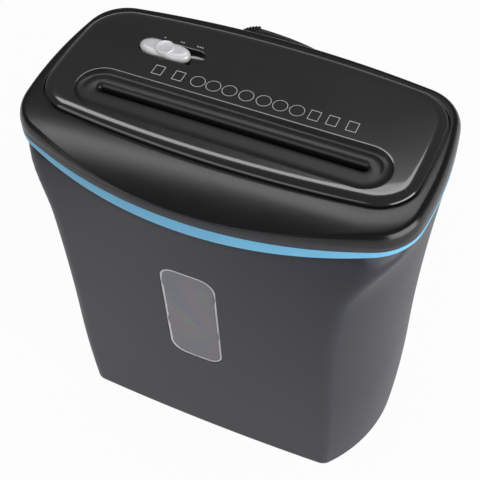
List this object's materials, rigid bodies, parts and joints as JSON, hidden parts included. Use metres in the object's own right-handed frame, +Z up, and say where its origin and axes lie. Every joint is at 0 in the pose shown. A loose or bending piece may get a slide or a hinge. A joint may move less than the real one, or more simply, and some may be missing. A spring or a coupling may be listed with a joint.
{
  "type": "paper shredder",
  "caption": "Desktop cross-cut paper shredder: a cutting head with an angled paper slot, mode slide and geared cutters that lifts off a tapered waste bin with a window.",
  "frame": {"origin": "under the middle of the machine, on the surface it stands on", "axes": "+Z up, +X to the user's right, -Y the front"},
  "size_m": [0.3236, 0.3198, 0.3376],
  "materials": {
    "bin_plastic": "fine satin grain, charcoal",
    "window_clear": "clear smoky acrylic",
    "band_plastic": "satin charcoal",
    "trim_blue": "semi-gloss pale blue",
    "cover_black": "satin black",
    "panel_gloss": "high gloss dark grey",
    "switch_silver": "silver paint on plastic",
    "white_plastic": "natural plastic",
    "black_plastic": "moulded black",
    "cutter_steel": "ground and oiled steel",
    "plate_steel": "zinc plated sheet",
    "gear_steel": "sintered steel",
    "comb_plastic": "glass-filled nylon",
    "bush_bronze": "sintered bronze",
    "motor_steel": "drawn can, zinc plated",
    "board_green": "solder mask",
    "cord_rubber": "soft PVC",
    "pin_metal": "nickel plated"
  },
  "bodies": {
    "bin": {"bin": "bin_plastic", "bin_window": "window_clear", "lead": "cord_rubber", "lead_coil": "cord_rubber", "lead_tail": "cord_rubber", "plug": "cord_rubber", "plug_pins": "pin_metal"},
    "head": {"head_base": "band_plastic", "trim_ring": "trim_blue", "top_cover": "cover_black", "top_panel": "panel_gloss", "mode_switch": "black_plastic", "left_plate": "plate_steel", "right_plate": "plate_steel", "rear_comb": "comb_plastic", "front_comb": "comb_plastic", "shaft_bushes": "bush_bronze", "tie_rods": "plate_steel", "gear_plate": "plate_steel", "gear_standoffs": "plate_steel", "gear_screws": "pin_metal", "second_axle": "gear_steel", "first_axle": "gear_steel", "motor_screws": "pin_metal", "cover_screws": "pin_metal", "motor_case": "motor_steel", "motor_end_cap": "black_plastic", "control_board": "board_green", "board_transformer": "black_plastic", "board_relays": "white_plastic", "board_capacitor": "black_plastic", "interlock_switch": "black_plastic", "strain_relief": "cord_rubber"},
    "switch": {"switch_knob": "switch_silver", "switch_slider": "white_plastic"},
    "drive_shaft": {"drive_cutter": "cutter_steel", "drive_sync_gear": "gear_steel", "drive_gear": "gear_steel"},
    "driven_shaft": {"driven_cutter": "cutter_steel", "driven_sync_gear": "gear_steel"},
    "second_idler": {"second_idler": "white_plastic"},
    "first_idler": {"first_idler": "white_plastic"},
    "motor_shaft": {"motor_rotor": "gear_steel", "motor_pinion": "gear_steel"},
    "sensor": {"paper_sensor": "black_plastic"},
    "plunger": {"interlock_plunger": "white_plastic"}
  },
  "joints": [
    {"name": "head_lift", "type": "slide", "parent": "bin", "child": "head", "axis": [0, 0, 1], "range_m": [0, 0.12]},
    {"name": "mode_slide", "type": "slide", "parent": "head", "child": "switch", "axis": [1, 0, 0], "range_m": [0, 0.013]},
    {"name": "drive_spin", "type": "hinge", "parent": "head", "child": "drive_shaft", "pos_m": [0, 0.0005, 0.292], "axis": [1, 0, 0], "continuous": true},
    {"name": "driven_spin", "type": "hinge", "parent": "head", "child": "driven_shaft", "pos_m": [0, -0.0315, 0.292], "axis": [1, 0, 0], "continuous": true},
    {"name": "second_idler_spin", "type": "hinge", "parent": "head", "child": "second_idler", "pos_m": [0.128, 0.03251, 0.28636], "axis": [1, 0, 0], "continuous": true},
    {"name": "first_idler_spin", "type": "hinge", "parent": "head", "child": "first_idler", "pos_m": [0.122, 0.04713, 0.26547], "axis": [1, 0, 0], "continuous": true},
    {"name": "motor_spin", "type": "hinge", "parent": "head", "child": "motor_shaft", "pos_m": [0.081, 0.05212, 0.28894], "axis": [1, 0, 0], "continuous": true},
    {"name": "sensor_tilt", "type": "hinge", "parent": "head", "child": "sensor", "pos_m": [0, -0.0081, 0.3221], "axis": [1, 0, 0], "range_deg": [0, 35], "stiffness_Nm_per_rad": 0.002, "springref_deg": -11.46},
    {"name": "interlock_push", "type": "slide", "parent": "head", "child": "plunger", "axis": [0, 0, 1], "range_m": [-0.003, 0]}
  ],
  "couplings": [
    {"joint": "driven_spin", "follows": "drive_spin", "ratio": -1},
    {"joint": "second_idler_spin", "follows": "drive_spin", "ratio": -3.3333},
    {"joint": "first_idler_spin", "follows": "drive_spin", "ratio": 12.121},
    {"joint": "motor_spin", "follows": "drive_spin", "ratio": -60.606},
    {"joint": "interlock_push", "follows": "head_lift", "ratio": -0.025}
  ]
}
